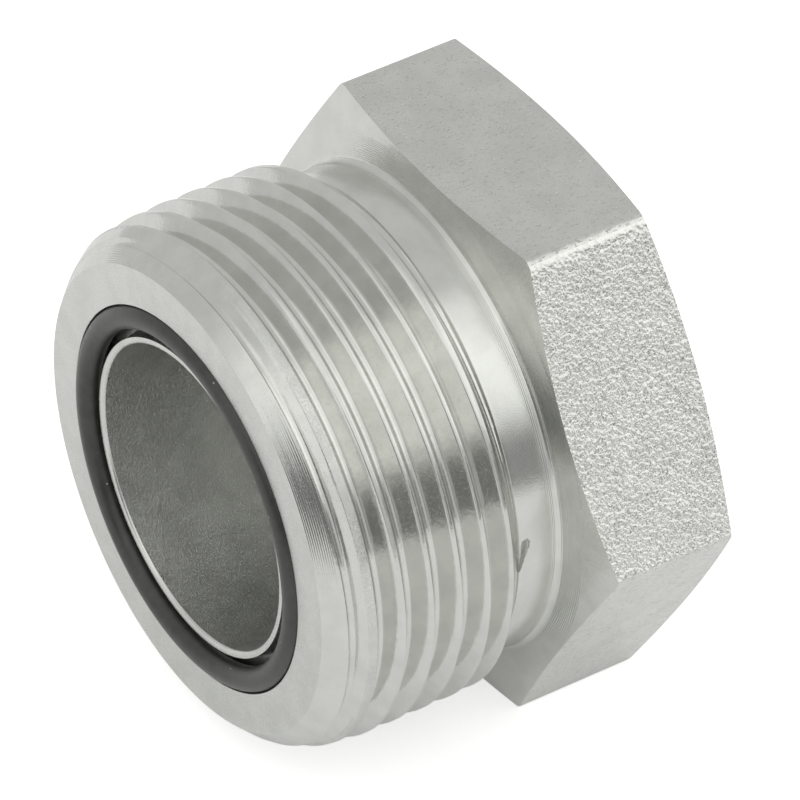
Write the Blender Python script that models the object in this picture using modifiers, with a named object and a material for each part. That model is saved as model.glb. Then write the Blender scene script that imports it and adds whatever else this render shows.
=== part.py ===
"""Face seal plug: a hexagon plug with an external thread and a rubber ring in its nose.

The plug lies on one flat of its hexagon with its axis level. Its seal face looks towards -X.
Every turned shape is drawn about a local Z axis that points out of the nose, with the seal face
at zero. One empty turns that axis to -X and lifts it to half the height of the hexagon.
"""
import math

import bmesh
import bpy

MM = 0.001

# Hexagon
HEX_SIDES = 6
HEX_ACROSS_FLATS = 37.5 * MM
HEX_LENGTH = 10.2 * MM
HEX_CORNER_ROUNDING = 0.5 * MM
HEX_CHAMFER_ANGLE = math.radians(15.0)
WASHER_FACE_MARGIN = 0.06 * MM
WASHER_FACE_ANGLE = math.radians(10.7)

# Stud between the seal face and the hexagon
STUD_LENGTH = 17.95 * MM
THREAD_DIAMETER = 36.3 * MM
THREADS_PER_INCH = 12
THREAD_DEPTH = 1.25 * MM
THREAD_FLANK_ANGLE = math.radians(30.0)
THREAD_FIRST_ROOT = 1.14 * MM
RELIEF_DIAMETER = 33.3 * MM
RELIEF_LENGTH = 3.55 * MM
RELIEF_RAMP_LENGTH = 1.35 * MM
RELIEF_FILLET = 0.5 * MM

# Nose: a chamfer, a lead that starts the thread, and a slight taper over its first crests
SEAL_FACE_DIAMETER = 32.1 * MM
NOSE_CHAMFER_DIAMETER = 34.1 * MM
NOSE_CHAMFER_LENGTH = 1.0 * MM
THREAD_LEAD_DIAMETER = 35.6 * MM
THREAD_LEAD_LENGTH = 1.1 * MM
CREST_TAPER_LENGTH = 2.7 * MM

# Bore and the thin lip between it and the ring groove
BORE_DIAMETER = 20.9 * MM
BORE_DEPTH = 16.0 * MM
DRILL_POINT_ANGLE = math.radians(118.0)
LIP_THICKNESS = 0.52 * MM
LIP_SETBACK = 0.3 * MM

# Ring groove round the lip, and the rubber ring that it holds
GROOVE_MOUTH_WIDTH = 2.38 * MM
GROOVE_WALL_ANGLE = math.radians(10.0)
RING_SECTION = 1.7 * MM
RING_PROUD = 0.43 * MM
RING_WALL_CLEARANCE = 0.12 * MM
RING_FLOOR_CLEARANCE = 0.3 * MM

# Fineness of the solids
TURN_STEPS = 72
FILLET_STEPS = 4
CORNER_STEPS = 2
RING_SECTION_STEPS = 16
SHARP_EDGE_ANGLE = math.radians(25.0)
MERGE_DISTANCE = 0.0001 * MM
CUTTER_OVERSHOOT = 1.0 * MM

# Sizes that follow from the ones above
INCH = 25.4 * MM
THREAD_PITCH = INCH / THREADS_PER_INCH
THREAD_CREST_FLAT = THREAD_PITCH / 8
HEX_HALF_CORNER = math.pi / HEX_SIDES
HEX_CORNER_RADIUS = HEX_ACROSS_FLATS / 2 / math.cos(HEX_HALF_CORNER)
WASHER_FACE_RADIUS = HEX_ACROSS_FLATS / 2 - WASHER_FACE_MARGIN

LIP_RADIUS = BORE_DIAMETER / 2 + LIP_THICKNESS
GROOVE_MOUTH_RADIUS = LIP_RADIUS + GROOVE_MOUTH_WIDTH

# Places along the axis, measured back from the seal face
TOTAL_LENGTH = STUD_LENGTH + HEX_LENGTH
RELIEF_START = STUD_LENGTH - RELIEF_LENGTH
THREAD_END = RELIEF_START - RELIEF_RAMP_LENGTH
LEAD_END = NOSE_CHAMFER_LENGTH + THREAD_LEAD_LENGTH
TAPER_END = LEAD_END + CREST_TAPER_LENGTH
GROOVE_DEPTH = RING_SECTION - RING_PROUD + RING_FLOOR_CLEARANCE


def clear_scene():
    for old in list(bpy.data.objects):
        bpy.data.objects.remove(old, do_unlink=True)


def new_collection(name):
    collection = bpy.data.collections.new(name)
    bpy.context.scene.collection.children.link(collection)
    return collection


def new_material(name, colour, roughness, metallic):
    material = bpy.data.materials.new(name)
    material.use_nodes = True
    shader = material.node_tree.nodes["Principled BSDF"]
    shader.inputs["Base Color"].default_value = (*colour, 1.0)
    shader.inputs["Roughness"].default_value = roughness
    shader.inputs["Metallic"].default_value = metallic
    material.diffuse_color = (*colour, 1.0)
    return material


def zinc_plated_steel():
    return new_material("zinc_plated_steel", (0.71, 0.715, 0.70), 0.3, 1.0)


def black_rubber():
    return new_material("black_rubber", (0.03, 0.03, 0.029), 0.55, 0.0)


def new_object(name, mesh, collection, parent):
    thing = bpy.data.objects.new(name, mesh)
    collection.objects.link(thing)
    thing.parent = parent
    return thing


def new_cutter(name, mesh, collection, parent):
    cutter = new_object(name, mesh, collection, parent)
    cutter.hide_render = True
    cutter.display_type = "WIRE"
    return cutter


def outline_mesh(name, points, closed):
    """Edges through (radius, depth) points, with depth measured back from the seal face."""
    shape = bmesh.new()
    corners = [shape.verts.new((radius, 0.0, -depth)) for radius, depth in points]
    for first, second in zip(corners, corners[1:]):
        shape.edges.new((first, second))
    if closed:
        shape.edges.new((corners[-1], corners[0]))
    mesh = bpy.data.meshes.new(name)
    shape.to_mesh(mesh)
    shape.free()
    return mesh


def turn(thing, pitch=0.0, turns=1):
    """Turn the outline about local Z: a closed ring, or a helix where a pitch is given."""
    screw = thing.modifiers.new("Turning", "SCREW")
    screw.axis = "Z"
    screw.angle = math.tau
    screw.screw_offset = pitch
    screw.iterations = turns
    screw.steps = TURN_STEPS
    screw.render_steps = TURN_STEPS
    screw.use_merge_vertices = pitch == 0.0
    screw.merge_threshold = MERGE_DISTANCE


def cut(thing, cutter):
    boolean = thing.modifiers.new(cutter.name, "BOOLEAN")
    boolean.operation = "DIFFERENCE"
    boolean.solver = "EXACT"
    boolean.object = cutter


def settle(thing):
    """Replace the object's mesh by the one that its modifiers make."""
    bpy.context.view_layer.update()
    evaluated = thing.evaluated_get(bpy.context.evaluated_depsgraph_get())
    mesh = bpy.data.meshes.new_from_object(evaluated)
    thing.modifiers.clear()
    thing.data = mesh
    mesh.name = thing.name


def shade(thing):
    thing.data.shade_smooth()
    thing.data.set_sharp_from_angle(angle=SHARP_EDGE_ANGLE)


def fillet_points():
    """The relief's fillet, from the relief's wall up to the washer face.

    The washer face is a shallow cone that comes forward from its rim to the fillet.
    """
    face_rise = (WASHER_FACE_RADIUS - RELIEF_DIAMETER / 2) * math.tan(WASHER_FACE_ANGLE)
    bend = math.pi / 2 - WASHER_FACE_ANGLE
    centre_radius = RELIEF_DIAMETER / 2 + RELIEF_FILLET
    centre_depth = STUD_LENGTH - face_rise - RELIEF_FILLET * math.tan(bend / 2)
    points = []
    for step in range(FILLET_STEPS + 1):
        angle = bend * step / FILLET_STEPS
        radius = centre_radius - RELIEF_FILLET * math.cos(angle)
        depth = centre_depth + RELIEF_FILLET * math.sin(angle)
        points.append((radius, depth))
    return points


def nose_points():
    """From the end of the bore out over the lip, the groove and the seal face to the thread."""
    bore_radius = BORE_DIAMETER / 2
    floor_radius = GROOVE_MOUTH_RADIUS + GROOVE_DEPTH * math.tan(GROOVE_WALL_ANGLE)
    point_length = bore_radius / math.tan(DRILL_POINT_ANGLE / 2)
    return [
        (0.0, BORE_DEPTH + point_length),
        (bore_radius, BORE_DEPTH),
        (bore_radius, LIP_SETBACK),
        (LIP_RADIUS, LIP_SETBACK),
        (LIP_RADIUS, GROOVE_DEPTH),
        (floor_radius, GROOVE_DEPTH),
        (GROOVE_MOUTH_RADIUS, 0.0),
        (SEAL_FACE_DIAMETER / 2, 0.0),
        (NOSE_CHAMFER_DIAMETER / 2, NOSE_CHAMFER_LENGTH),
        (THREAD_LEAD_DIAMETER / 2, LEAD_END),
        (THREAD_DIAMETER / 2, TAPER_END),
    ]


def neck_points():
    """The end of the thread, its ramp down to the relief, and the relief's fillet."""
    return [(THREAD_DIAMETER / 2, THREAD_END), (RELIEF_DIAMETER / 2, RELIEF_START)] + fillet_points()


def head_points():
    """The rim of the washer face and the chamfered round blank that the hexagon is cut from."""
    blank_radius = HEX_CORNER_RADIUS + CUTTER_OVERSHOOT
    chamfer_depth = (blank_radius - WASHER_FACE_RADIUS) * math.tan(HEX_CHAMFER_ANGLE)
    return [
        (WASHER_FACE_RADIUS, STUD_LENGTH),
        (blank_radius, STUD_LENGTH + chamfer_depth),
        (blank_radius, TOTAL_LENGTH - chamfer_depth),
        (WASHER_FACE_RADIUS, TOTAL_LENGTH),
        (0.0, TOTAL_LENGTH),
    ]


def thread_points(root_depth):
    """Section of the thread groove: a V with a flat root, its sides going straight out above it."""
    crest_radius = THREAD_DIAMETER / 2
    outside = crest_radius + CUTTER_OVERSHOOT
    root_radius = crest_radius - THREAD_DEPTH
    half_mouth = (THREAD_PITCH - THREAD_CREST_FLAT) / 2
    half_root = half_mouth - THREAD_DEPTH * math.tan(THREAD_FLANK_ANGLE)
    section = [
        (outside, -half_mouth),
        (crest_radius, -half_mouth),
        (root_radius, -half_root),
        (root_radius, half_root),
        (crest_radius, half_mouth),
        (outside, half_mouth),
    ]
    return [(radius, root_depth + offset) for radius, offset in section]


def thread_cutter(cutters, parent):
    """The groove as one helical bar, from over the relief to in front of the nose.

    It is turned on by half a step, with the rise that goes with it, so that its corners fall
    between those of the body.
    """
    turns_behind = math.ceil((RELIEF_START + THREAD_PITCH / 2 - THREAD_FIRST_ROOT) / THREAD_PITCH)
    points = thread_points(THREAD_FIRST_ROOT + turns_behind * THREAD_PITCH)
    cutter = new_cutter("thread_cutter", outline_mesh("thread", points, True), cutters, parent)
    turn(cutter, THREAD_PITCH, turns_behind + 1)
    settle(cutter)
    shape = bmesh.new()
    shape.from_mesh(cutter.data)
    bmesh.ops.holes_fill(shape, edges=[edge for edge in shape.edges if edge.is_boundary], sides=0)
    bmesh.ops.recalc_face_normals(shape, faces=shape.faces)
    shape.to_mesh(cutter.data)
    shape.free()
    cutter.rotation_euler.z = math.pi / TURN_STEPS
    cutter.location.z = THREAD_PITCH / (2 * TURN_STEPS)
    return cutter


def hexagon_cutter(cutters, parent):
    """A thick ring with the hexagon as its hole, reaching past both ends of the head."""
    shape = bmesh.new()
    bmesh.ops.create_cone(
        shape,
        cap_ends=False,
        segments=HEX_SIDES,
        radius1=HEX_CORNER_RADIUS,
        radius2=HEX_CORNER_RADIUS,
        depth=HEX_LENGTH + 2 * CUTTER_OVERSHOOT,
    )
    mesh = bpy.data.meshes.new("hexagon")
    shape.to_mesh(mesh)
    shape.free()
    cutter = new_cutter("hexagon_cutter", mesh, cutters, parent)
    cutter.location.z = -(STUD_LENGTH + HEX_LENGTH / 2)
    rounding = cutter.modifiers.new("Corner rounding", "BEVEL")
    rounding.limit_method = "ANGLE"
    rounding.width = HEX_CORNER_ROUNDING * math.tan(HEX_HALF_CORNER)
    rounding.segments = CORNER_STEPS
    thickness = cutter.modifiers.new("Thickness", "SOLIDIFY")
    thickness.thickness = HEX_CORNER_RADIUS
    thickness.offset = 1.0
    thickness.use_even_offset = True
    return cutter


def build_body(parts, cutters, parent):
    section = nose_points() + neck_points() + head_points()
    body = new_object("plug_body", outline_mesh("plug_body", section, False), parts, parent)
    turn(body)
    cut(body, hexagon_cutter(cutters, parent))
    cut(body, thread_cutter(cutters, parent))
    settle(body)
    shade(body)
    body.data.materials.clear()
    body.data.materials.append(zinc_plated_steel())


def build_ring(parts, parent):
    outer_radius = GROOVE_MOUTH_RADIUS - RING_WALL_CLEARANCE
    bpy.ops.mesh.primitive_torus_add(
        major_segments=TURN_STEPS,
        minor_segments=RING_SECTION_STEPS,
        major_radius=outer_radius - RING_SECTION / 2,
        minor_radius=RING_SECTION / 2,
    )
    torus = bpy.context.object
    ring = new_object("face_seal_o_ring", torus.data, parts, parent)
    bpy.data.objects.remove(torus, do_unlink=True)
    ring.location.z = RING_PROUD - RING_SECTION / 2
    shade(ring)
    ring.data.materials.append(black_rubber())


def main():
    clear_scene()
    parts = new_collection("face_seal_plug")
    cutters = new_collection("cutters")
    plug_axis = new_object("plug_axis", None, parts, None)
    plug_axis.location = ((RING_PROUD - TOTAL_LENGTH) / 2, 0.0, HEX_ACROSS_FLATS / 2)
    plug_axis.rotation_euler = (0.0, math.radians(-90.0), 0.0)
    build_body(parts, cutters, plug_axis)
    build_ring(parts, plug_axis)


main()
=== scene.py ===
"""Looks of the face seal plug: plated steel body, rubber ring, floor, studio light and camera.

The frame gives the places and the main sizes. Depths are measured back from the seal face along
the plug's axis, and angles about that axis, from +Y by way of +Z.
"""
import math

import bmesh
import bpy
import numpy as np
from mathutils import Matrix, Vector, noise


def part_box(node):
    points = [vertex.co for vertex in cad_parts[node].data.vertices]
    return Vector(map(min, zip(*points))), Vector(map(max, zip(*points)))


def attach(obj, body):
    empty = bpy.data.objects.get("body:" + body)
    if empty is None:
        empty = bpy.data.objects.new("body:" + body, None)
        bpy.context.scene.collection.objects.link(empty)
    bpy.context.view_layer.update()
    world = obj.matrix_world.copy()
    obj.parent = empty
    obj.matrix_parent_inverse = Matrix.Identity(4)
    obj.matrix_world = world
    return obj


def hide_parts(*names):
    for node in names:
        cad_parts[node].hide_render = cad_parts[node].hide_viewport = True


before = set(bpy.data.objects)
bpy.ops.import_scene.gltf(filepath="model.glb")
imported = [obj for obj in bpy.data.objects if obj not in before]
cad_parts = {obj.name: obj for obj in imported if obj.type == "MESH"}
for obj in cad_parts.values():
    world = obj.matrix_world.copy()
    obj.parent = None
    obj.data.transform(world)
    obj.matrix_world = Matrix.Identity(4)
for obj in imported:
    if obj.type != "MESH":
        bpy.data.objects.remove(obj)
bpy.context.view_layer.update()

MM = 0.001

# Camera, fitted to the photograph's edges
PHOTO_SIDE = 800
VIEW_AZIMUTH = math.radians(-33.54)
VIEW_ELEVATION = math.radians(40.32)
VIEW_ROLL = math.radians(0.64)
VIEW_DEPTH = 561.5 * MM
FOCAL_PIXELS = 8817.0
SEAL_CENTRE_PIXEL = (185.2, 500.1)
SENSOR_WIDTH = 36.0

# Places and sizes read from the frame
BODY_LOW, BODY_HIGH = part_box("plug_body")
RING_LOW, RING_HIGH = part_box("face_seal_o_ring")
SEAL_CENTRE = Vector((BODY_LOW.x, 0.0, (BODY_LOW.z + BODY_HIGH.z) / 2))
TOTAL_LENGTH = BODY_HIGH.x - BODY_LOW.x
FLAT_DISTANCE = (BODY_HIGH.z - BODY_LOW.z) / 2
RING_SECTION_RADIUS = (RING_HIGH.x - RING_LOW.x) / 2
RING_RADIUS = (RING_HIGH.y - RING_LOW.y) / 2 - RING_SECTION_RADIUS
RING_DEPTH = (RING_HIGH.x + RING_LOW.x) / 2 - BODY_LOW.x

# Stud
HEX_LENGTH = 10.2 * MM
STUD_LENGTH = TOTAL_LENGTH - HEX_LENGTH
RELIEF_RADIUS = 16.65 * MM
RELIEF_START = STUD_LENGTH - 3.55 * MM
RELIEF_ROWS = 12
RAMP_START = RELIEF_START - 1.35 * MM
RAMP_FILLET = 0.3 * MM
RELIEF_FILLET = 0.5 * MM
FILLET_STEPS = 8
STUD_COLUMNS = 264

# Thread. Its turns are counted from the bottom, where the angle goes back by a full turn.
CREST_RADIUS = 18.15 * MM
PITCH = 25.4 * MM / 12
THREAD_DEPTH = 1.25 * MM
FIRST_ROOT = 1.14 * MM
TURN_SEAM = 270.0
FLANK_SLOPE = 1 / math.tan(math.radians(30.0))
HALF_MOUTH = PITCH * 7 / 16
HALF_ROOT = HALF_MOUTH - THREAD_DEPTH / FLANK_SLOPE
FIRST_CREST_LOW = 17.72 * MM
FIRST_CREST_HALF_WIDTH = 0.45 * MM

# The last crest: its middle in turns behind the first root, how much wider it is to the front,
# and the angles in degrees over which that comes and goes
LAST_CREST_TURNS = 5.5
LAST_CREST_WIDENING = 0.28 * MM
WIDENING_START = 20.0
WIDENING_RISE = 50.0
WIDENING_FALL = 40.0

# Where the thread's section is sampled, and how its corners are rounded
CORNER_BLEND = 0.05 * MM
ROOT_BLEND = 0.16 * MM
CORNER_OFFSETS = (-0.03 * MM, -0.012 * MM, 0.012 * MM, 0.03 * MM)
ROOT_OFFSETS = (-0.09 * MM, -0.035 * MM, 0.035 * MM, 0.09 * MM)
FLANK_SHARES = (0.25, 0.5, 0.75)
CORNER_TRIES = 8

# Nose: the envelope's breaks as (depth, radius)
SEAL_FACE_RADIUS = 16.05 * MM
NOSE_BREAKS = (
    (0.0, SEAL_FACE_RADIUS),
    (1.0 * MM, 17.05 * MM),
    (2.1 * MM, 17.8 * MM),
    (4.8 * MM, CREST_RADIUS),
)
EDGE_ROUNDING = 0.06 * MM

# Bore, lip and ring groove
BORE_RADIUS = 10.45 * MM
BORE_DEPTH = 16.0 * MM
BORE_END_ROUNDING = 0.4 * MM
DRILL_POINT_ANGLE = math.radians(118.0)
LIP_RADIUS = 10.97 * MM
LIP_SETBACK = 0.3 * MM
LIP_INNER_ROUNDING = 0.27 * MM
GROOVE_MOUTH_RADIUS = RING_RADIUS + RING_SECTION_RADIUS + 0.015 * MM
GROOVE_DEPTH = 1.57 * MM
GROOVE_WALL_ANGLE = math.radians(10.0)
GROOVE_ROUNDING = 0.25 * MM
RING_SECTION_STEPS = 48

# Hexagon, with angles in degrees
HALF_SIDE = 30
WASHER_RADIUS = FLAT_DISTANCE - 0.06 * MM
WASHER_SLOPE = math.tan(math.radians(10.7))
WASHER_BRIDGE = 0.3 * MM
FACE_MARGIN = 0.03 * MM
CHAMFER_SLOPE = math.tan(math.radians(15.0))
CORNER_ROUNDING = 0.56 * MM
FORGED_CORNER_ROUNDING = 1.05 * MM
CORNER_STEPS = 8
FLAT_COLUMNS = 22
FORGED_COLUMNS = 168
FLAT_ROWS = 78
REAR_RING_SHARE = 0.5
WELD_DISTANCE = 0.0001 * MM

# Forged flats: the corner before each is rounded, and the one after it is cut off
FORGED_FLATS = (150, 330)
FORGED_CORNERS = (120, 300)
TRIMMED_CORNERS = (180, 0)
FORGED_HALF_ANGLE = 29.8
TRIMMED_HALF_ANGLE = 0.6
TRIMMED_REACH = 0.2 * MM
FORGED_FADE = 0.8 * MM
FORGED_FADE_LEFT = FORGED_FADE / 5
CORNER_SKIN_GAIN = 1.6
GRAIN_DEPTH = 0.065 * MM
GRAIN_SIZE = 0.42 * MM
GRAIN_STRETCH = 1.1
GRAIN_FALLOFF = 0.6
GRAIN_LACUNARITY = 2.0
GRAIN_OCTAVES = 3
GRAIN_MEAN = 0.5
GRAIN_SHARE = 0.55
WAVE_SIZE = 1.1 * MM
WAVE_STRETCH = 4.0
WAVE_SHARE = 0.25

# Zones of the surface
ZONE_MARGIN = 0.001 * MM
SEAL_FACE_MARGIN = 0.02 * MM
GROOVE_ZONE_MARGIN = 0.3 * MM
CHAMFER_FACING = 0.9
SHARP_ANGLE = 38.0

# Finish
ZINC = (0.716, 0.722, 0.694)
GLOSS_RANGE = (0.85, 1.15)
LINE_WOBBLE = 2.0
LINE_START_FADE = 0.1
NICK_TAPER = 0.7
FORGED_BUMP_STRETCH = 1.2
SMOOTH_EDGE_START = 1.3
SMOOTH_EDGE_END = 0.2
SMOOTH_EDGE_SHARE = 0.2
RUBBER_DARK = (0.028, 0.029, 0.024)
RUBBER_LIGHT = (0.044, 0.046, 0.038)
RUBBER_ROUGHNESS = 0.34
RUBBER_IOR = 1.62
RUBBER_GRAIN = 0.006 * MM
DUST = (0.45, 0.45, 0.43)

# Floor
WHITE = (1.0, 1.0, 1.0, 1.0)
FLOOR_RADIUS = 0.19
FLOOR_STEPS = 128
FLOOR_COLOUR = (0.86, 0.86, 0.86, 1.0)
FLOOR_GLOW = 0.6
FLOOR_MIRRORED_GLOW = 0.15

# Light
DEGREES = 180 / math.pi
STUDIO_COLOUR = (0.997, 1.0, 0.983, 1.0)
ROOM_LEVEL = 0.64
ALL_ROUND = 400.0
NO_END = 200.0

# The light's layers round the plug, each over those above it:
# azimuth, half width, side softness, low, high, edge softness in degrees, and brightness
LIGHT_LAYERS = {
    "front_sky": (250.0, 94.0, 20.0, 27.0, NO_END, 8.0, 0.97),
    "ceiling": (0.0, ALL_ROUND, 1.0, 72.0, NO_END, 8.0, 0.92),
    "right_softbox": (326.0, 28.0, 8.0, 19.0, 59.0, 8.0, 1.22),
    "top_softbox": (248.0, 30.0, 12.0, 49.0, 72.0, 8.0, 1.15),
    "left_softbox": (202.0, 14.0, 8.0, 42.0, 62.0, 8.0, 1.15),
    "low_left_panel": (177.0, 14.0, 8.0, -12.0, 34.0, 6.0, 1.02),
    "low_right_panel": (334.0, 25.0, 8.0, -12.0, 20.0, 8.0, 1.04),
    "front_gap": (262.0, 24.0, 8.0, -16.0, 14.0, 8.0, 0.58),
    "left_gap": (214.0, 29.0, 4.0, -18.0, 24.0, 3.5, 0.2),
    "left_gap_foot": (212.0, 24.0, 8.0, -18.0, -5.0, 6.0, 0.62),
    "right_gap": (303.0, 11.5, 5.0, -16.0, 15.0, 6.0, 0.26),
}


def blend_low(first, second, width=CORNER_BLEND):
    """The lower of two radii, with the corner between them rounded over that width."""
    near = np.maximum(width - np.abs(first - second), 0.0) / width
    return np.minimum(first, second) - near * near * width / 4


def blend_high(first, second, width=CORNER_BLEND):
    """The higher of two radii, with the corner between them rounded over that width."""
    return -blend_low(-first, -second, width)


def envelope_radius(depth):
    """The stud without its thread: nose chamfer, lead, taper, crests, and the ramp behind them."""
    radius = np.full_like(depth, CREST_RADIUS)
    for (near, low), (far, high) in zip(NOSE_BREAKS, NOSE_BREAKS[1:]):
        slope = (high - low) / (far - near)
        radius = blend_low(radius, low + slope * (depth - near))
    ramp_slope = (CREST_RADIUS - RELIEF_RADIUS) / (RELIEF_START - RAMP_START)
    return blend_low(radius, CREST_RADIUS - ramp_slope * (depth - RAMP_START))


def root_depth(angle):
    """Depth of the first root's centre at that angle; the right-handed helix leads it back."""
    return FIRST_ROOT + PITCH * (angle - math.pi / 2) / math.tau


def stud_radius(depth, angle):
    """The stud's radius with its thread: the lower of its envelope and the thread's groove."""
    turns = (depth - root_depth(angle)) / PITCH
    from_root = np.abs(turns - np.round(turns)) * PITCH
    root = np.full_like(depth, CREST_RADIUS - THREAD_DEPTH)
    flank = root + (from_root - HALF_ROOT) * FLANK_SLOPE
    groove = blend_high(blend_high(root, flank, ROOT_BLEND), last_crest(depth, angle))
    return blend_low(envelope_radius(depth), groove)


def last_crest_place(angle):
    """Depth of the last crest's middle at that angle, and how much wider it is to the front."""
    counted = angle if angle < math.radians(TURN_SEAM) else angle - math.tau
    turned = math.degrees(counted)
    rise = (turned - WIDENING_START) / WIDENING_RISE
    fall = (TURN_SEAM - turned) / WIDENING_FALL
    share = min(1.0, max(0.0, rise), fall)
    return root_depth(counted) + LAST_CREST_TURNS * PITCH, LAST_CREST_WIDENING * share


def last_crest(depth, angle):
    """The crest that the thread runs out on is wider: its front flank starts further forward."""
    middle, widening = last_crest_place(angle)
    front = middle - PITCH / 2 + HALF_MOUTH - widening
    flank = CREST_RADIUS + (depth - front) * FLANK_SLOPE
    return np.where(depth < middle, flank, CREST_RADIUS - THREAD_DEPTH)


def thread_offsets():
    """Where one pitch of the thread is sampled, measured from the centre of its root."""
    one_side = [HALF_ROOT + offset for offset in ROOT_OFFSETS]
    flank = HALF_MOUTH - HALF_ROOT
    one_side += [HALF_ROOT + flank * share for share in FLANK_SHARES]
    one_side += [HALF_MOUTH + offset for offset in CORNER_OFFSETS]
    return sorted([-value for value in one_side] + [0.0] + one_side + [PITCH / 2])


def thread_rows(angle):
    """Depths of the thread's rows at that angle: they keep to its corners under the envelope."""
    offsets = np.array(thread_offsets())
    turns = np.arange(-2, math.ceil(RELIEF_START / PITCH) + 2) * PITCH
    root = root_depth(angle) + turns[:, None]
    middle, widening = last_crest_place(angle)
    on_flank = (np.abs(offsets) > HALF_ROOT / 2) & (np.abs(offsets) < PITCH / 2 - CORNER_BLEND)
    before_last = (np.abs(root + PITCH / 2 - middle) < PITCH / 2) & (offsets > 0)
    root = root - widening * (before_last & on_flank)
    up = np.clip((np.abs(offsets) - HALF_ROOT) / (HALF_MOUTH - HALF_ROOT), 0.0, 1.0) * on_flank
    lowered = np.zeros_like(root + offsets)
    for _ in range(CORNER_TRIES):
        corner = root + np.sign(offsets) * (HALF_MOUTH - lowered)
        lowered = np.clip((CREST_RADIUS - envelope_radius(corner)) / FLANK_SLOPE, 0.0, HALF_MOUTH)
    return (root + offsets - np.sign(offsets) * up * lowered).ravel()


def rounded(points, roundings, steps=4):
    """The outline through (depth, radius) points, with each inner corner turned as an arc."""
    line = [points[0]]
    for before, corner, after, rounding in zip(points, points[1:], points[2:], roundings):
        here = Vector(corner)
        back = (Vector(before) - here).normalized()
        ahead = (Vector(after) - here).normalized()
        half = back.angle(ahead) / 2
        centre = here + (back + ahead).normalized() * rounding / math.sin(half)
        start = here + back * rounding / math.tan(half) - centre
        end = here + ahead * rounding / math.tan(half) - centre
        for step in range(steps + 1):
            spoke = start.slerp(end, step / steps)
            line.append(tuple(centre + spoke.normalized() * rounding))
    line.append(points[-1])
    return line


def nose_line():
    """From the end of the bore out to the edge of the seal face, as (depth, radius)."""
    point_length = BORE_RADIUS / math.tan(DRILL_POINT_ANGLE / 2)
    floor_radius = GROOVE_MOUTH_RADIUS + GROOVE_DEPTH * math.tan(GROOVE_WALL_ANGLE)
    corners = [
        (BORE_DEPTH + point_length, 0.0),
        (BORE_DEPTH, BORE_RADIUS),
        (LIP_SETBACK, BORE_RADIUS),
        (LIP_SETBACK, LIP_RADIUS),
        (GROOVE_DEPTH, LIP_RADIUS),
        (GROOVE_DEPTH, floor_radius),
        (0.0, GROOVE_MOUTH_RADIUS),
        (0.0, SEAL_FACE_RADIUS),
        NOSE_BREAKS[1],
    ]
    roundings = [
        BORE_END_ROUNDING,
        LIP_INNER_ROUNDING,
        EDGE_ROUNDING,
        GROOVE_ROUNDING,
        GROOVE_ROUNDING,
        EDGE_ROUNDING,
        EDGE_ROUNDING,
    ]
    return rounded(corners, roundings)[:-1]


def neck_line():
    """From the end of the ramp along the relief, up its fillet and out over the washer cone."""
    rim = (STUD_LENGTH, WASHER_RADIUS)
    foot = (STUD_LENGTH - (WASHER_RADIUS - RELIEF_RADIUS) * WASHER_SLOPE, RELIEF_RADIUS)
    corners = [(RAMP_START, CREST_RADIUS), (RELIEF_START, RELIEF_RADIUS), foot, rim]
    line = rounded(corners, [RAMP_FILLET, RELIEF_FILLET], FILLET_STEPS)[1:-1]
    ramp_end = line[: FILLET_STEPS + 1]
    bend = line[FILLET_STEPS + 1 :]
    first = ramp_end[-1][0]
    last = bend[0][0]
    level = [
        (first + (last - first) * step / RELIEF_ROWS, RELIEF_RADIUS)
        for step in range(1, RELIEF_ROWS)
    ]
    share = 1 - WASHER_BRIDGE / (WASHER_RADIUS - bend[-1][1])
    out = tuple(low + (high - low) * share for low, high in zip(bend[-1], rim))
    return ramp_end + level + bend + [out]


def stud_grid():
    """Points of the stud as (column, row, axis) in the plug's own frame.

    Rows of the thread follow its helix, so each column sorts its own depths.
    """
    nose = np.array(nose_line())
    neck = np.array(neck_line())
    first = nose[-1, 0]
    fixed = np.array([depth for depth, _ in NOSE_BREAKS[1:]] + [RAMP_START])
    columns = []
    for column in range(STUD_COLUMNS + 1):
        angle = math.tau * column / STUD_COLUMNS
        helix = np.clip(thread_rows(angle), first, neck[0, 0])
        depth = np.sort(np.concatenate([helix, fixed]))
        radius = stud_radius(depth, angle)
        line = np.concatenate([nose, np.stack([depth, radius], 1), neck])
        columns.append(
            np.stack([line[:, 0], line[:, 1] * math.cos(angle), line[:, 1] * math.sin(angle)], 1)
        )
    return np.array(columns)


def hexagon_section():
    """Points round the hexagon as (point, outward normal, roughness share), one for each column."""
    section = []
    for flat in range(90, 450, 2 * HALF_SIDE):
        normal = direction(flat)
        side = Vector((-normal.y, normal.x))
        forged = flat % 360 in FORGED_FLATS
        columns = FORGED_COLUMNS if forged else FLAT_COLUMNS
        start = corner_tangent(flat - HALF_SIDE)
        end = corner_tangent(flat + HALF_SIDE)
        for column in range(columns + 1):
            offset = -start + (start + end) * column / columns
            fade = (end - offset + FORGED_FADE_LEFT) / FORGED_FADE
            share = min(1.0, fade) if forged else 0.0
            section.append((normal * FLAT_DISTANCE + side * offset, normal, share))
        section += corner_points(flat + HALF_SIDE)
    return section


def direction(degrees):
    """The unit direction at that angle about the plug's axis."""
    return Vector((math.cos(math.radians(degrees)), math.sin(math.radians(degrees))))


def corner_rounding(corner):
    """The corner over the forged flat that faces up keeps more of its forged rounding."""
    return FORGED_CORNER_ROUNDING if corner % 360 in FORGED_CORNERS else CORNER_ROUNDING


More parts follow.
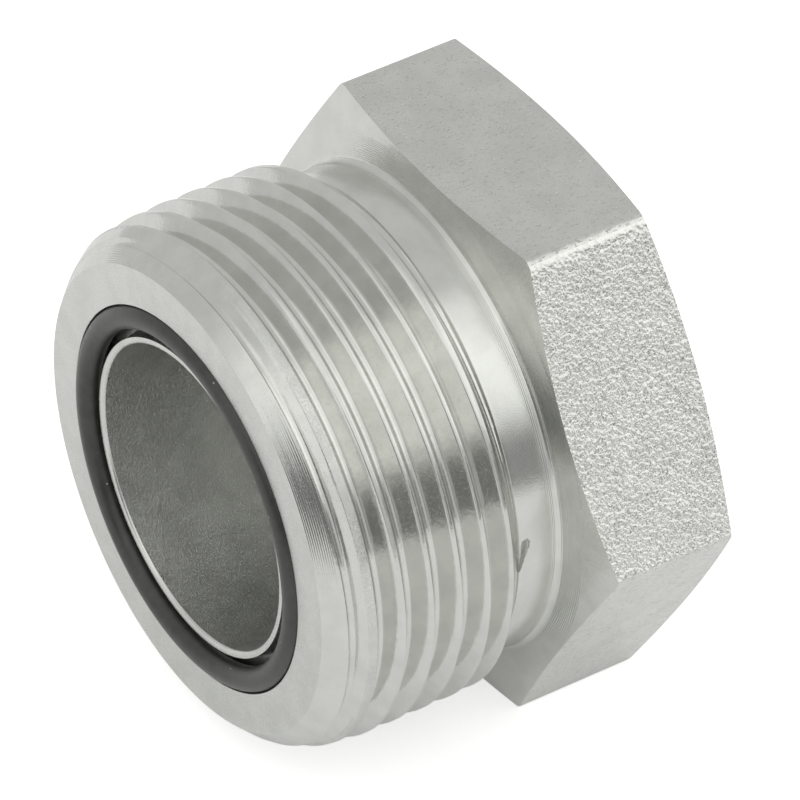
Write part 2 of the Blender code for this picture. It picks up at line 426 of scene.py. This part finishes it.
def corner_tangent(corner):
    """How far from the middle of a flat its corner starts, where it is rounded or cut off.

    The lower corner of a forged flat is cut off by a narrow flat that reaches as far out as the
    rounding of the other corners.
    """
    slope = math.radians(HALF_SIDE)
    if corner % 360 in TRIMMED_CORNERS:
        reach = (FLAT_DISTANCE - CORNER_ROUNDING) / math.cos(slope) + CORNER_ROUNDING
        aside = (FLAT_DISTANCE - reach * math.cos(slope)) / math.sin(slope)
        return reach * math.sin(slope) - aside * math.cos(slope)
    return (FLAT_DISTANCE - corner_rounding(corner)) * math.tan(slope)


def corner_points(corner):
    """Points of a corner's rounding between its two flats. A corner that is cut off has none."""
    if corner % 360 in TRIMMED_CORNERS:
        return []
    rounding = corner_rounding(corner)
    centre = direction(corner) * (FLAT_DISTANCE - rounding) / math.cos(math.radians(HALF_SIDE))
    points = []
    for step in range(1, CORNER_STEPS):
        share = step / CORNER_STEPS
        normal = direction(corner + 2 * HALF_SIDE * (share - 0.5))
        forged = min(1.0, CORNER_SKIN_GAIN * share) if corner % 360 in FORGED_CORNERS else 0.0
        points.append((centre + normal * rounding, normal, forged))
    return points


def forged_hollow(place):
    """How far the forged skin lies under the flat at a place, from 0 to GRAIN_DEPTH."""
    stretched = Vector((place.x * GRAIN_STRETCH, place.y, place.z)) / GRAIN_SIZE
    grain = noise.fractal(stretched, GRAIN_FALLOFF, GRAIN_LACUNARITY, GRAIN_OCTAVES)
    waves = noise.noise(Vector((place.x / WAVE_STRETCH, place.y, place.z)) / WAVE_SIZE)
    share = GRAIN_MEAN + GRAIN_SHARE * grain + WAVE_SHARE * waves
    return GRAIN_DEPTH * min(1.0, max(0.0, share))


def head_grid():
    """Points of the hexagon as (column, row, axis), from the washer face round to the rear face."""
    columns = []
    section = hexagon_section()
    for point, normal, forged in section + section[:1]:
        reach = point.length
        spoke = point / reach
        rise = (reach - WASHER_RADIUS) * CHAMFER_SLOPE
        front = STUD_LENGTH + rise
        rear = TOTAL_LENGTH - rise
        washer = spoke * WASHER_RADIUS
        inside = spoke * (WASHER_RADIUS - FACE_MARGIN)
        inside_depth = STUD_LENGTH - FACE_MARGIN * WASHER_SLOPE
        line = [(inside_depth, inside.x, inside.y), (STUD_LENGTH, washer.x, washer.y)]
        for row in range(FLAT_ROWS + 1):
            depth = front + (rear - front) * row / FLAT_ROWS
            place = Vector((depth, point.x, point.y))
            if forged:
                edge = (row == 0) - (row == FLAT_ROWS)
                under = forged * forged_hollow(place)
                under = min(under, reach - WASHER_RADIUS) if edge else under
                place -= Vector((edge * CHAMFER_SLOPE, normal.x, normal.y)) * under
            line.append(tuple(place))
        line.append((TOTAL_LENGTH, washer.x, washer.y))
        line.append((TOTAL_LENGTH, inside.x, inside.y))
        line.append((TOTAL_LENGTH, washer.x * REAR_RING_SHARE, washer.y * REAR_RING_SHARE))
        line.append((TOTAL_LENGTH, 0.0, 0.0))
        columns.append(line)
    return np.array(columns)


def sheet_mesh(name, grid):
    """A mesh through a grid of points. Points that coincide aren't welded yet."""
    columns, rows, _ = grid.shape
    index = np.arange(columns * rows).reshape(columns, rows)
    corners = [index[:-1, :-1], index[:-1, 1:], index[1:, 1:], index[1:, :-1]]
    faces = np.stack(corners, -1).reshape(-1, 4)
    mesh = bpy.data.meshes.new(name)
    mesh.from_pydata(grid.reshape(-1, 3).tolist(), [], faces.tolist())
    return mesh


def turn_of(point):
    """Angle of a mesh point about the plug's axis."""
    return math.atan2(point.co.z, point.co.y)


def join_rings(shape):
    """Triangles from the stud's open rim to the head's, round both in step with the angle."""
    rims = [point for point in shape.verts if point.is_boundary]
    middle = WASHER_RADIUS - FACE_MARGIN - WASHER_BRIDGE / 2
    inner = sorted((point for point in rims if point.co.yz.length < middle), key=turn_of)
    outer = sorted((point for point in rims if point.co.yz.length > middle), key=turn_of)
    inner_turns = [turn_of(point) for point in inner[1:]] + [turn_of(inner[0]) + math.tau]
    outer_turns = [turn_of(point) for point in outer[1:]] + [turn_of(outer[0]) + math.tau]
    near = far = 0
    while near < len(inner) or far < len(outer):
        here = inner[near % len(inner)]
        there = outer[far % len(outer)]
        if far == len(outer) or (near < len(inner) and inner_turns[near] <= outer_turns[far]):
            near += 1
            shape.faces.new((here, inner[near % len(inner)], there))
        else:
            far += 1
            shape.faces.new((here, outer[far % len(outer)], there))


def closed_body_mesh():
    """Stud and head as one closed mesh, joined across the washer face."""
    shape = bmesh.new()
    for name, grid in (("stud", stud_grid()), ("head", head_grid())):
        part = sheet_mesh(name, grid)
        shape.from_mesh(part)
        bpy.data.meshes.remove(part)
    bmesh.ops.remove_doubles(shape, verts=shape.verts, dist=WELD_DISTANCE)
    join_rings(shape)
    bmesh.ops.recalc_face_normals(shape, faces=shape.faces)
    mesh = bpy.data.meshes.new("plug_body_visual")
    shape.to_mesh(mesh)
    shape.free()
    return mesh


def new_node(tree, kind, settings=None, inputs=None):
    """A node with its settings, and its inputs as values or as links from other nodes."""
    node = tree.nodes.new(kind)
    for name, value in (settings or {}).items():
        setattr(node, name, value)
    for name, value in (inputs or {}).items():
        if isinstance(value, bpy.types.NodeSocket):
            tree.links.new(value, node.inputs[name])
        else:
            node.inputs[name].default_value = value
    return node


def math_node(tree, operation, *values):
    """The result of a sum on numbers or sockets."""
    inputs = dict(enumerate(values))
    return new_node(tree, "ShaderNodeMath", {"operation": operation}, inputs).outputs[0]


def vector_node(tree, operation, *vectors, scale=None):
    """The result of a sum on vectors: a number for a dot product, a distance or a length."""
    inputs = dict(enumerate(vectors))
    if scale is not None:
        inputs["Scale"] = scale
    outputs = new_node(tree, "ShaderNodeVectorMath", {"operation": operation}, inputs).outputs
    return outputs["Value" if operation in ("DOT_PRODUCT", "DISTANCE", "LENGTH") else "Vector"]


def place_fields(tree):
    """Place from the seal face's centre in millimetres, as depth, radius and direction round it."""
    place = new_node(tree, "ShaderNodeTexCoord").outputs["Object"]
    scaled = vector_node(tree, "SCALE", place, scale=1 / MM)
    split = new_node(tree, "ShaderNodeSeparateXYZ", None, {0: scaled}).outputs
    across = new_node(tree, "ShaderNodeCombineXYZ", None, {1: split[1], 2: split[2]}).outputs[0]
    radius = vector_node(tree, "LENGTH", across)
    around = vector_node(tree, "NORMALIZE", across)
    return {"place": scaled, "depth": split[0], "radius": radius, "around": around}


def stretched_field(tree, fields, along, fine, coarse):
    """A vector that changes fast along one measure and slowly round the axis, for turned marks."""
    quick = math_node(tree, "MULTIPLY", fields[along], fine)
    slow = vector_node(tree, "SCALE", fields["around"], scale=coarse)
    offset = new_node(tree, "ShaderNodeCombineXYZ", None, {0: quick}).outputs[0]
    return vector_node(tree, "ADD", slow, offset)


def scaled_field(tree, fields, scale):
    """The place, with each axis stretched by its own factor."""
    return vector_node(tree, "MULTIPLY", fields["place"], scale)


def noise_height(tree, vector, scale, detail=2.0, roughness=0.5):
    """Cloudy noise from 0 to 1."""
    inputs = {"Vector": vector, "Scale": scale, "Detail": detail, "Roughness": roughness}
    return new_node(tree, "ShaderNodeTexNoise", None, inputs).outputs["Fac"]


def add_bump(tree, normal, height, distance):
    """The normal with one more bump on it, or the first bump where there is none."""
    inputs = {"Height": height, "Distance": distance, "Strength": 1.0}
    if normal is not None:
        inputs["Normal"] = normal
    return new_node(tree, "ShaderNodeBump", None, inputs).outputs["Normal"]


def spread(tree, value, low, high, out_low=0.0, out_high=1.0):
    """The value eased from the range low to high into the range out_low to out_high."""
    inputs = {0: value, 1: low, 2: high, 3: out_low, 4: out_high}
    settings = {"interpolation_type": "SMOOTHSTEP"}
    return new_node(tree, "ShaderNodeMapRange", settings, inputs).outputs[0]


def colour_mix(tree, share, first, second):
    """A mix of two colours, each a plain colour or a socket."""
    node = new_node(tree, "ShaderNodeMix", {"data_type": "RGBA"}, {0: share})
    sockets = [socket for socket in node.inputs if socket.type == "RGBA"]
    for socket, colour in zip(sockets, (first, second)):
        if isinstance(colour, bpy.types.NodeSocket):
            tree.links.new(colour, socket)
        else:
            socket.default_value = (*colour, 1.0)
    return next(socket for socket in node.outputs if socket.type == "RGBA")


def metal(name, roughness, bumps, cloud_and_painted_light=(0.93, 1.0)):
    """Zinc plating over steel: cloudy in colour and gloss, with the bumps of its own zone. A zone
    given levels above 1 gets a lighter zinc, which is painted light.
    """
    material = bpy.data.materials.new(name)
    material.use_nodes = True
    tree = material.node_tree
    shader = tree.nodes["Principled BSDF"]
    fields = place_fields(tree)
    cloud = noise_height(tree, fields["place"], scale=0.45, detail=4.0, roughness=0.6)
    dark, light = (tuple(value * level for value in ZINC) for level in cloud_and_painted_light)
    colour = colour_mix(tree, spread(tree, cloud, low=0.35, high=0.65), dark, light)
    tree.links.new(colour, shader.inputs["Base Color"])
    speckle = noise_height(tree, fields["place"], scale=6.0, detail=3.0, roughness=0.6)
    smooth, rough = (roughness * level for level in GLOSS_RANGE)
    gloss = spread(tree, speckle, low=0.3, high=0.7, out_low=smooth, out_high=rough)
    tree.links.new(gloss, shader.inputs["Roughness"])
    shader.inputs["Metallic"].default_value = 1.0
    normal = None
    for bump in bumps:
        normal = bump(tree, fields, normal)
    tree.links.new(normal, shader.inputs["Normal"])
    return material


def turned_marks(along, pitch, height, wander=0.6):
    """Fine grooves that a turning tool leaves, square to the way it moved."""
    def bump(tree, fields, normal):
        vector = stretched_field(tree, fields, along, 1.0 / pitch, wander)
        marks = noise_height(tree, vector, scale=1.0, detail=1.0, roughness=0.5)
        return add_bump(tree, normal, marks, height * MM)
    return bump


def turned_lines(along, pitch, height, start=None):
    """Even rings of that pitch, a little irregular, from a start on where one is given."""
    def bump(tree, fields, normal):
        slow = stretched_field(tree, fields, along, fine=1.2, coarse=0.8)
        wobble = noise_height(tree, slow, scale=1.0, detail=2.0, roughness=0.5)
        turns = math_node(tree, "DIVIDE", fields[along], pitch)
        shifted = math_node(tree, "MULTIPLY_ADD", wobble, LINE_WOBBLE, turns)
        lines = math_node(tree, "SINE", math_node(tree, "MULTIPLY", shifted, math.tau))
        if start is not None:
            fade = (start - LINE_START_FADE, start + LINE_START_FADE)
            lines = math_node(tree, "MULTIPLY", lines, spread(tree, fields[along], *fade))
        return add_bump(tree, normal, lines, height * MM)
    return bump


def nick(start, end, width, depth):
    """A gouge that tapers from one place to another, in millimetres from the seal face's centre.

    Its floor slopes down to a steep edge at the rear.
    """
    line = Vector(end) - Vector(start)
    outward = Vector((0.0, start[1], start[2]))
    forward = line.cross(outward).normalized()

    def bump(tree, fields, normal):
        here = vector_node(tree, "SUBTRACT", fields["place"], start)
        share = vector_node(tree, "DOT_PRODUCT", here, tuple(line / line.length_squared))
        share = math_node(tree, "MINIMUM", math_node(tree, "MAXIMUM", share, 0.0), 1.0)
        nearest = vector_node(tree, "SCALE", tuple(line), scale=share)
        away = vector_node(tree, "DISTANCE", here, nearest)
        across = vector_node(tree, "DOT_PRODUCT", here, tuple(forward))
        reach = math_node(tree, "MULTIPLY_ADD", share, -NICK_TAPER * width, width)
        ragged = noise_height(tree, fields["place"], scale=4.5, detail=3.0, roughness=0.6)
        edge = math_node(tree, "ADD", math_node(tree, "DIVIDE", away, reach), ragged)
        inside = spread(tree, edge, low=0.9, high=1.15, out_low=1.0, out_high=0.0)
        place = math_node(tree, "DIVIDE", across, reach)
        sloped = spread(tree, place, low=-0.5, high=0.6, out_low=-1.0, out_high=0.0)
        return add_bump(tree, normal, math_node(tree, "MULTIPLY", inside, sloped), depth * MM)
    return bump


def ring_specks(along, across, height):
    """Short marks round the axis inside the bore: their width and length in millimetres."""
    def bump(tree, fields, normal):
        vector = stretched_field(tree, fields, "depth", 1 / along, BORE_RADIUS / MM / across)
        marks = noise_height(tree, vector, scale=1.0, detail=2.0, roughness=0.6)
        return add_bump(tree, normal, spread(tree, marks, low=0.5, high=0.66), height * MM)
    return bump


def fine_grain(size, height, stretch=(1.0, 1.0, 1.0)):
    """The plating's own grain, of that size in millimetres."""
    def bump(tree, fields, normal):
        vector = scaled_field(tree, fields, stretch)
        grain = noise_height(tree, vector, 1.0 / size, detail=2.0, roughness=0.55)
        return add_bump(tree, normal, grain, height * MM)
    return bump


def forged_grain(size, height):
    """The skin of a forged flat, in millimetres, smoother along the flat's one rounded edge."""
    def bump(tree, fields, normal):
        middle = math.radians(FORGED_FLATS[0])
        outward = (0.0, math.cos(middle), math.sin(middle))
        to_rounded = (0.0, math.sin(middle), -math.cos(middle))
        side = math_node(tree, "SIGN", vector_node(tree, "DOT_PRODUCT", fields["place"], outward))
        aside = vector_node(tree, "DOT_PRODUCT", fields["place"], to_rounded)
        from_middle = math_node(tree, "MULTIPLY", side, aside)
        half = FLAT_DISTANCE / MM * math.tan(math.radians(HALF_SIDE))
        near = half - SMOOTH_EDGE_START
        far = half - SMOOTH_EDGE_END
        share = spread(tree, from_middle, near, far, 1.0, SMOOTH_EDGE_SHARE)
        vector = scaled_field(tree, fields, (FORGED_BUMP_STRETCH, 1.0, 1.0))
        grain = noise_height(tree, vector, 1 / size, detail=1.0, roughness=0.5)
        return add_bump(tree, normal, math_node(tree, "MULTIPLY", grain, share), height * MM)
    return bump


def dents(size, height, stretch=(1.0, 1.0, 1.0), low=0.58, high=0.72):
    """Sparse dents, of that size in millimetres, where the noise passes a threshold."""
    def bump(tree, fields, normal):
        vector = scaled_field(tree, fields, stretch)
        field = noise_height(tree, vector, 1.0 / size, detail=2.0, roughness=0.6)
        return add_bump(tree, normal, spread(tree, field, low, high, 1.0, 0.0), height * MM)
    return bump


def thread_material():
    return metal("plated_thread", 0.13, [
        fine_grain(size=0.5, height=0.007),
        dents(size=0.09, height=0.005, low=0.64, high=0.74),
        turned_marks("depth", pitch=0.07, height=0.002, wander=1.2),
    ])


def first_crest_material():
    """The first crest is scraped all along."""
    return metal("plated_first_crest", 0.16, [
        dents(size=0.09, height=0.012, stretch=(0.8, 1.0, 1.0), low=0.48, high=0.6),
        turned_lines("depth", pitch=0.11, height=0.002),
    ])


def nose_material():
    return metal("plated_nose", 0.16, [
        turned_lines("depth", pitch=0.105, height=0.004),
        dents(size=0.10, height=0.003),
    ])


def relief_material():
    """The relief has turned lines near the head and one gouge behind the last crest."""
    return metal("plated_relief", 0.15, [
        fine_grain(size=0.08, height=0.006),
        turned_lines("depth", pitch=0.13, height=0.004, start=16.9),
        nick(start=(14.9, -16.57, 1.45), end=(14.47, -16.65, -0.5), width=0.6, depth=0.25),
    ])


def seal_face_material():
    return metal("plated_seal_face", 0.3, [
        turned_marks("radius", pitch=0.2, height=0.0015),
        fine_grain(size=0.9, height=0.004),
    ])


def washer_face_material():
    return metal("plated_washer_face", 0.22, [turned_lines("radius", pitch=0.14, height=0.003)])


def chamfer_material():
    return metal("plated_chamfer", 0.24, [fine_grain(size=1.6, height=0.003)])


def flat_material():
    """The smooth flats are drawn along the axis, with short streaks."""
    return metal("plated_flat", 0.24, [
        fine_grain(size=0.2, height=0.006, stretch=(0.25, 1.0, 1.0)),
        dents(size=0.16, height=0.055, stretch=(0.45, 1.0, 1.0), low=0.58, high=0.7),
    ])


def forged_material():
    # Painted light: the forged flats take a lighter copy of the zinc, so they look brighter than
    # the lighting alone makes them.
    return metal("plated_forged_flat", 0.2, [forged_grain(size=0.27, height=0.15)], (1.03, 1.11))


def bore_material():
    marks = ring_specks(along=0.055, across=0.15, height=0.011)
    return metal("plated_bore", 0.34, [marks], (0.9, 1.04))


def rear_material():
    return metal("plated_rear_face", 0.28, [
        turned_lines("radius", pitch=0.38, height=0.006),
        fine_grain(size=0.3, height=0.002),
    ])


BODY_MATERIALS = {
    "thread": thread_material,
    "first_crest": first_crest_material,
    "nose": nose_material,
    "relief": relief_material,
    "seal_face": seal_face_material,
    "washer_face": washer_face_material,
    "chamfer": chamfer_material,
    "flat": flat_material,
    "forged": forged_material,
    "bore": bore_material,
    "rear": rear_material,
}


def zones(mesh):
    """The zone of each face of the body, from where its centre lies and how it faces."""
    count = len(mesh.polygons)
    centre = np.zeros(count * 3)
    facing = np.zeros(count * 3)
    mesh.polygons.foreach_get("center", centre)
    mesh.polygons.foreach_get("normal", facing)
    centre = centre.reshape(-1, 3)
    facing = facing.reshape(-1, 3)
    depth = centre[:, 0]
    radius = np.hypot(centre[:, 1], centre[:, 2])
    angle = np.degrees(np.arctan2(centre[:, 2], centre[:, 1])) % 360
    head = (depth > STUD_LENGTH + ZONE_MARGIN) & (radius > LIP_RADIUS)
    forged = np.zeros(count, bool)
    for flat in FORGED_FLATS:
        forged |= np.abs(angle - flat) < FORGED_HALF_ANGLE
    zone = np.full(count, "thread", dtype=object)
    turned = np.radians(np.where(angle > TURN_SEAM, angle - 360.0, angle))
    from_crest = np.abs(depth - root_depth(turned) - PITCH / 2)
    first_crest = (from_crest < FIRST_CREST_HALF_WIDTH) & (radius > FIRST_CREST_LOW)
    zone[first_crest] = "first_crest"
    zone[depth < NOSE_BREAKS[1][0]] = "nose"
    zone[depth > RELIEF_START] = "relief"
    zone[(depth < SEAL_FACE_MARGIN) & (radius < SEAL_FACE_RADIUS)] = "seal_face"
    zone[radius < GROOVE_MOUTH_RADIUS + GROOVE_ZONE_MARGIN] = "bore"
    zone[(radius < LIP_RADIUS) & (depth < LIP_SETBACK + LIP_INNER_ROUNDING)] = "seal_face"
    zone[(depth > RELIEF_START) & (radius > RELIEF_RADIUS + RELIEF_FILLET)] = "washer_face"
    zone[head] = "flat"
    zone[head & forged] = "forged"
    zone[head & (np.abs(facing[:, 0]) > CHAMFER_FACING)] = "chamfer"
    zone[depth > TOTAL_LENGTH - ZONE_MARGIN] = "rear"
    return zone


def sharpen_trimmed_corners(mesh):
    """Keeps the edges of the narrow cuts sharp, whatever the forged skin does beside them."""
    place = np.zeros(len(mesh.vertices) * 3)
    mesh.vertices.foreach_get("co", place)
    place = place.reshape(-1, 3)
    from_corner = np.degrees(np.arctan2(place[:, 2], place[:, 1])) % 180
    on_cut = np.minimum(from_corner, 180 - from_corner) < TRIMMED_HALF_ANGLE
    full_corner = FLAT_DISTANCE / math.cos(math.radians(HALF_SIDE))
    on_cut &= np.abs(place[:, 1]) > full_corner - TRIMMED_REACH
    ends = np.zeros(len(mesh.edges) * 2, dtype=np.int32)
    mesh.edges.foreach_get("vertices", ends)
    marks = mesh.attributes["sharp_edge"].data
    sharp = np.zeros(len(mesh.edges), dtype=bool)
    marks.foreach_get("value", sharp)
    marks.foreach_set("value", sharp | on_cut[ends.reshape(-1, 2)].all(axis=1))


def build_body():
    """The plated body, with a finish for each zone, in place of the CAD's."""
    mesh = closed_body_mesh()
    names = list(BODY_MATERIALS)
    for name in names:
        mesh.materials.append(BODY_MATERIALS[name]())
    index = np.array([names.index(name) for name in zones(mesh)], dtype=np.int32)
    mesh.polygons.foreach_set("material_index", index)
    mesh.shade_smooth()
    mesh.set_sharp_from_angle(angle=math.radians(SHARP_ANGLE))
    sharpen_trimmed_corners(mesh)
    body = bpy.data.objects.new("plug_body_visual", mesh)
    bpy.context.scene.collection.objects.link(body)
    body.location = SEAL_CENTRE
    flatten = body.modifiers.new("flat_faces", "WEIGHTED_NORMAL")
    flatten.keep_sharp = True
    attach(body, "root")
    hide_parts("plug_body")


def rubber_material():
    """Black rubber, cloudy with bloom, with a few specks of dust."""
    material = bpy.data.materials.new("black_rubber")
    material.use_nodes = True
    tree = material.node_tree
    shader = tree.nodes["Principled BSDF"]
    place = place_fields(tree)["place"]
    cloud = noise_height(tree, place, scale=1.2, detail=4.0, roughness=0.6)
    bloomed = spread(tree, cloud, low=0.3, high=0.7)
    bloom = colour_mix(tree, bloomed, RUBBER_DARK, RUBBER_LIGHT)
    cells = new_node(tree, "ShaderNodeTexVoronoi", None, {"Vector": place, "Scale": 0.8})
    apart = cells.outputs["Distance"]
    dusty = spread(tree, apart, low=0.03, high=0.06, out_low=1.0, out_high=0.0)
    tree.links.new(colour_mix(tree, dusty, bloom, DUST), shader.inputs["Base Color"])
    shader.inputs["Roughness"].default_value = RUBBER_ROUGHNESS
    shader.inputs["IOR"].default_value = RUBBER_IOR
    grain = noise_height(tree, place, scale=9.0, detail=3.0, roughness=0.6)
    tree.links.new(add_bump(tree, None, grain, RUBBER_GRAIN), shader.inputs["Normal"])
    return material


def build_ring():
    """The rubber ring, at the place and size of the CAD's."""
    bpy.ops.mesh.primitive_torus_add(
        major_segments=STUD_COLUMNS,
        minor_segments=RING_SECTION_STEPS,
        major_radius=RING_RADIUS,
        minor_radius=RING_SECTION_RADIUS,
        location=SEAL_CENTRE + Vector((RING_DEPTH, 0.0, 0.0)),
        rotation=(0.0, math.radians(90.0), 0.0),
    )
    ring = bpy.context.object
    ring.name = "face_seal_o_ring_visual"
    ring.data.shade_smooth()
    ring.data.materials.append(rubber_material())
    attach(ring, "root")
    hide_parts("face_seal_o_ring")


def build_floor():
    """A round pale table top: white to the camera but for the plug's shadow."""
    shape = bmesh.new()
    bmesh.ops.create_circle(shape, cap_ends=True, segments=FLOOR_STEPS, radius=FLOOR_RADIUS)
    mesh = bpy.data.meshes.new("floor")
    shape.to_mesh(mesh)
    shape.free()
    floor = bpy.data.objects.new("floor", mesh)
    bpy.context.scene.collection.objects.link(floor)
    material = bpy.data.materials.new("pale_floor")
    material.use_nodes = True
    tree = material.node_tree
    tree.nodes.clear()
    path = new_node(tree, "ShaderNodeLightPath").outputs
    mirrored = math_node(tree, "MAXIMUM", path["Is Glossy Ray"], path["Is Transmission Ray"])
    glow = math_node(tree, "MULTIPLY", path["Is Camera Ray"], FLOOR_GLOW)
    glow = math_node(tree, "MULTIPLY_ADD", mirrored, FLOOR_MIRRORED_GLOW, glow)
    paint = new_node(tree, "ShaderNodeBsdfDiffuse", None, {"Color": FLOOR_COLOUR})
    shine = new_node(tree, "ShaderNodeEmission", None, {"Strength": glow, "Color": WHITE})
    both = new_node(tree, "ShaderNodeAddShader", None, {0: paint.outputs[0], 1: shine.outputs[0]})
    new_node(tree, "ShaderNodeOutputMaterial", None, {"Surface": both.outputs[0]})
    mesh.materials.append(material)


def soft_range(tree, value, low, high, softness):
    """1 between low and high, fading to 0 over the softness on either side of each."""
    rise = spread(tree, value, low - softness, low + softness)
    fall = spread(tree, value, high - softness, high + softness, 1.0, 0.0)
    return math_node(tree, "MULTIPLY", rise, fall)


def build_world():
    """A studio: softboxes high in front, dark gaps under them and a plain room behind."""
    world = bpy.data.worlds.new("studio")
    bpy.context.scene.world = world
    world.use_nodes = True
    tree = world.node_tree
    tree.nodes.clear()
    way = new_node(tree, "ShaderNodeTexCoord").outputs["Generated"]
    axes = new_node(tree, "ShaderNodeSeparateXYZ", None, {0: way}).outputs
    turn = math_node(tree, "MULTIPLY", math_node(tree, "ARCTAN2", axes[1], axes[0]), DEGREES)
    height = math_node(tree, "MULTIPLY", math_node(tree, "ARCSINE", axes[2]), DEGREES)
    level = ROOM_LEVEL
    for azimuth, half_width, side, low, high, edge, brightness in LIGHT_LAYERS.values():
        opposite = math_node(tree, "SUBTRACT", turn, azimuth - 180.0)
        wrapped = math_node(tree, "FLOORED_MODULO", opposite, 360.0)
        aside = math_node(tree, "ABSOLUTE", math_node(tree, "SUBTRACT", wrapped, 180.0))
        share = spread(tree, aside, half_width - side, half_width + side, 1.0, 0.0)
        share = math_node(tree, "MULTIPLY", share, soft_range(tree, height, low, high, edge))
        change = math_node(tree, "SUBTRACT", brightness, level)
        level = math_node(tree, "MULTIPLY_ADD", share, change, level)
    lit = {"Strength": level, "Color": STUDIO_COLOUR}
    studio = new_node(tree, "ShaderNodeBackground", None, lit)
    white = new_node(tree, "ShaderNodeBackground", None, {"Color": WHITE})
    camera_ray = new_node(tree, "ShaderNodeLightPath").outputs["Is Camera Ray"]
    sides = {0: camera_ray, 1: studio.outputs[0], 2: white.outputs[0]}
    mix = new_node(tree, "ShaderNodeMixShader", None, sides)
    new_node(tree, "ShaderNodeOutputWorld", None, {"Surface": mix.outputs[0]})


def build_camera():
    """The photograph's view: the seal face centre falls on its pixel at its depth."""
    level = Vector((-math.sin(VIEW_AZIMUTH), math.cos(VIEW_AZIMUTH), 0.0))
    right = Vector((level.y, -level.x, 0.0))
    away = level * math.cos(VIEW_ELEVATION) - Vector((0.0, 0.0, math.sin(VIEW_ELEVATION)))
    up = right.cross(away)
    across = right * math.cos(VIEW_ROLL) + up * math.sin(VIEW_ROLL)
    upward = up * math.cos(VIEW_ROLL) - right * math.sin(VIEW_ROLL)
    shift_x = (SEAL_CENTRE_PIXEL[0] - PHOTO_SIDE / 2) / FOCAL_PIXELS * VIEW_DEPTH
    shift_y = (PHOTO_SIDE / 2 - SEAL_CENTRE_PIXEL[1]) / FOCAL_PIXELS * VIEW_DEPTH
    camera = bpy.data.objects.new("camera", bpy.data.cameras.new("camera"))
    bpy.context.scene.collection.objects.link(camera)
    camera.data.sensor_width = SENSOR_WIDTH
    camera.data.lens = FOCAL_PIXELS * SENSOR_WIDTH / PHOTO_SIDE
    camera.matrix_world = Matrix(
        (
            (across.x, upward.x, -away.x, 0.0),
            (across.y, upward.y, -away.y, 0.0),
            (across.z, upward.z, -away.z, 0.0),
            (0.0, 0.0, 0.0, 1.0),
        )
    )
    camera.location = SEAL_CENTRE - across * shift_x - upward * shift_y - away * VIEW_DEPTH
    bpy.context.scene.camera = camera


build_body()
build_ring()
build_floor()
build_world()
build_camera()
bpy.context.scene.view_settings.view_transform = "Standard"
bpy.context.scene.cycles.use_denoising = True
